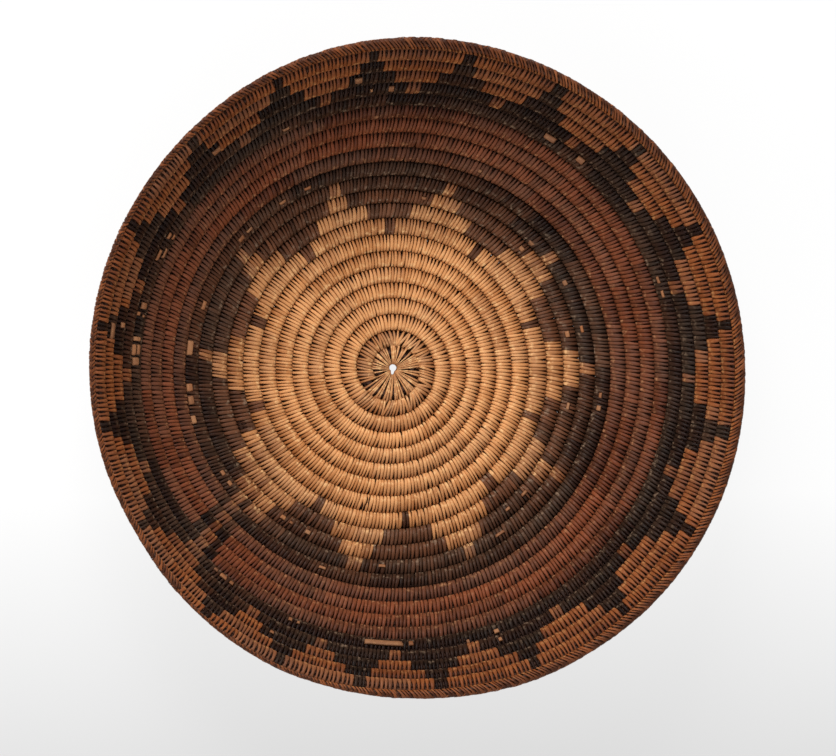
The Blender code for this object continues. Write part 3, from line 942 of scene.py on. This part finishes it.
def build_basket():
    # Each finish sets a seam colour, which is painted shade with dirt, and a worn colour, which is wear with
    # a painted sheen
    # Undyed splints of the floor: golden, semi-gloss from handling, browner towards the star's points
    natural = splint_material(
        "natural_sumac_splint",
        fresh=("B56E38", "ECA76B"),
        old=("5B3119", "925A36"),
        shade_and_dirt_colour="58290F",
        worn_and_sheen_colour="FAC68A",
        wear_and_sheen_bias=0.04,
        roughness=0.46,
        gloss_level=0.15,
    )
    # Undyed splints of the wall and rim: browned by age and hands
    aged = splint_material(
        "aged_sumac_splint",
        fresh=("602E18", "9A562E"),
        old=("4A2312", "78442A"),
        shade_and_dirt_colour="1C0904",
        worn_and_sheen_colour="D0955F",
        wear_and_sheen_bias=0.05,
        roughness=0.42,
        gloss_level=0.12,
    )
    # Dyed a warm black, which wears and fades to brown towards the floor
    black = splint_material(
        "black_dyed_sumac_splint",
        fresh=("0C0503", "27130C"),
        old=("2C170D", "7E4E34"),
        shade_and_dirt_colour="060303",
        worn_and_sheen_colour="9E856E",
        wear_and_sheen_bias=0.0,
        roughness=0.38,
        gloss_level=0.08,
    )
    # Dyed red-brown, duller in the rows next to the black
    red = splint_material(
        "red_dyed_sumac_splint",
        fresh=("421D0F", "87472B"),
        old=("391A0F", "6B3A26"),
        shade_and_dirt_colour="140604",
        worn_and_sheen_colour="C08A62",
        wear_and_sheen_bias=0.0,
        roughness=0.42,
        gloss_level=0.1,
    )
    # Bare, matt wood of splint ends
    pale = splint_material(
        "bare_sumac_splint",
        fresh=("6B3D22", "9A5F38"),
        old=("6E4229", "A06E4A"),
        shade_and_dirt_colour="3C2012",
        worn_and_sheen_colour="B88558",
        wear_and_sheen_bias=0.05,
        roughness=0.5,
        gloss_level=0.2,
    )
    build_foundation(rod_material())
    make_piece("start_stitches", lay_start(), [natural], ["start_coil_stitching"], "natural_splint")
    floor_dyes = ([natural, black], (0, 1, 1))
    band_dyes = ([aged, black, red], (0, 1, 2))
    wall_dyes = ([aged, black], (0, 1, 1))
    turn = START_TURNS
    # Each run's piece, rows, stitch spacing, taper, dyes, node and slot
    for name, turns, spacing, taper, palette, replaced, slot in (
        ("center_stitches", 7, 0.0019, 1.0, floor_dyes, "natural_center_stitching", "natural_splint"),
        ("star_stitches", 4, 0.0021, 1.0, floor_dyes, "black_star_stitching", "black_splint"),
        ("red_band_stitches", 4, 0.0022, 1.0, band_dyes, "red_band_stitching", "red_splint"),
        ("step_stitches", 4, 0.0023, 0.84, wall_dyes, "black_step_stitching", "black_splint"),
        ("outer_stitches", 1, 0.00235, 0.8, wall_dyes, "natural_outer_stitching", "aged_splint"),
    ):
        sewn_run(name, turn, turn + turns, spacing, taper, palette, [replaced], slot)
        turn += turns
    make_piece("rim_braid", lay_rim(), [aged], ["rim_stitching"], "aged_splint")
    ends = [f"exposed_splint_end_{number:02d}" for number in range(1, 21)]
    make_piece("bare_splint_ends", [lay_bare_ends()], [pale], ends, "pale_splint")


CAMERA_TILT = math.radians(11.7)  # it looks down into the bowl from a little to the left of its axis
CAMERA_DISTANCE = 1.583  # to the middle of the floor
FOCAL_LENGTH = 122.8  # mm
SENSOR_WIDTH = 36  # mm
FLOOR_MIDDLE = Vector((-CENTRE[0], -CENTRE[1], COIL_THICKNESS / 2 - BASE_CUT))
AIM_RIGHT, AIM_DOWN = 0.0144, 0.0049  # the view's middle, from the middle of the floor
ROOM_LIGHT = 0.3  # soft light from all sides; 1 of it alone would show white paper as white
SHEET_SIZE = 8  # so large that no edge of it shows
SHEET_TOP = -0.0002  # just under the basket's foot
SHEET_GREYS = (-0.07, -0.22)  # the sheet turns from white to grey between these, towards its near side
SHEET_GLOW = 0.86  # how much of what the camera sees of the sheet is its own light


def facing(place, target, up):
    """A matrix that puts something at a place, looking at a target."""
    back = (place - target).normalized()
    right = up.cross(back).normalized()
    turned = Matrix((right, back.cross(right), back)).transposed().to_4x4()
    return Matrix.Translation(place) @ turned


def set_camera():
    right = Vector((math.cos(CAMERA_TILT), 0, math.sin(CAMERA_TILT)))
    up = Vector((0, 1, 0))
    place = FLOOR_MIDDLE + CAMERA_DISTANCE * right.cross(up)
    lens = bpy.data.cameras.new("camera")
    lens.lens = FOCAL_LENGTH
    lens.sensor_width = SENSOR_WIDTH
    camera = bpy.data.objects.new("camera", lens)
    bpy.context.scene.collection.objects.link(camera)
    camera.matrix_world = facing(place, FLOOR_MIDDLE + AIM_RIGHT * right - AIM_DOWN * up, up)
    bpy.context.scene.camera = camera


def add_softbox(name, place, size, power):
    light = bpy.data.lights.new(name, "AREA")
    light.size = size
    light.energy = power
    lamp = bpy.data.objects.new(name, light)
    bpy.context.scene.collection.objects.link(lamp)
    lamp.matrix_world = facing(Vector(place), FLOOR_MIDDLE, Vector((0, 1, 0.1)))


def seen_ray(tree):
    """1 for rays that show the background itself: to the camera, and in reflections and glass."""
    ray = add_node(tree, "ShaderNodeLightPath")
    seen = add_node(
        tree,
        "ShaderNodeMath",
        {0: ray.outputs["Is Camera Ray"], 1: ray.outputs["Is Glossy Ray"]},
        operation="MAXIMUM",
    )
    seen = add_node(
        tree,
        "ShaderNodeMath",
        {0: seen.outputs[0], 1: ray.outputs["Is Transmission Ray"]},
        operation="MAXIMUM",
    )
    return seen.outputs[0]


def set_world():
    world = bpy.data.worlds.new("studio")
    world.use_nodes = True
    tree = world.node_tree
    tree.nodes.clear()
    lit = add_node(tree, "ShaderNodeBackground", {"Color": (1, 1, 1, 1), "Strength": ROOM_LIGHT})
    white = add_node(tree, "ShaderNodeBackground", {"Color": (1, 1, 1, 1), "Strength": 1.0})
    both = add_node(
        tree,
        "ShaderNodeMixShader",
        {0: seen_ray(tree), 1: lit.outputs[0], 2: white.outputs[0]},
    )
    add_node(tree, "ShaderNodeOutputWorld", {"Surface": both.outputs[0]})
    bpy.context.scene.world = world


def set_floor():
    """A white sheet that greys towards the near side. What the camera sees is mostly its own light, so that
    it stays pale and still takes the basket's shadow."""
    bpy.ops.object.select_all(action="DESELECT")
    bpy.ops.mesh.primitive_plane_add(size=SHEET_SIZE, location=(0, 0, SHEET_TOP))
    floor = bpy.context.object
    floor.name = "studio_floor"
    material, tree = new_material("white_paper_sheet")
    place = add_node(tree, "ShaderNodeTexCoord")
    apart = add_node(tree, "ShaderNodeSeparateXYZ", {"Vector": place.outputs["Object"]})
    first, last = SHEET_GREYS
    near_side = add_node(
        tree, "ShaderNodeMapRange", {"Value": apart.outputs["Y"], "From Min": first, "From Max": last}
    )
    colour = add_node(
        tree,
        "ShaderNodeMix",
        {"Factor": near_side.outputs[0], "A": linear("FFFFFF"), "B": linear("E3E3E3")},
        data_type="RGBA",
    )
    paper = add_node(
        tree, "ShaderNodeBsdfPrincipled", {"Base Color": colour.outputs["Result"], "Roughness": 0.9}
    )
    glow = add_node(tree, "ShaderNodeEmission", {"Color": colour.outputs["Result"], "Strength": 1.0})
    share = add_node(tree, "ShaderNodeMath", {0: seen_ray(tree), 1: SHEET_GLOW}, operation="MULTIPLY")
    both = add_node(
        tree, "ShaderNodeMixShader", {0: share.outputs[0], 1: paper.outputs[0], 2: glow.outputs[0]}
    )
    add_node(tree, "ShaderNodeOutputMaterial", {"Surface": both.outputs[0]})
    floor.data.materials.append(material)


build_basket()
set_camera()
# Each softbox's place, size in metres and power in watts
add_softbox("key_softbox", (-0.42, 1.1, 1.1), 0.8, 23.3)
add_softbox("fill_softbox", (-0.3, -1.1, 1.1), 1.2, 9.2)
set_world()
set_floor()
bpy.context.scene.view_settings.view_transform = "Standard"
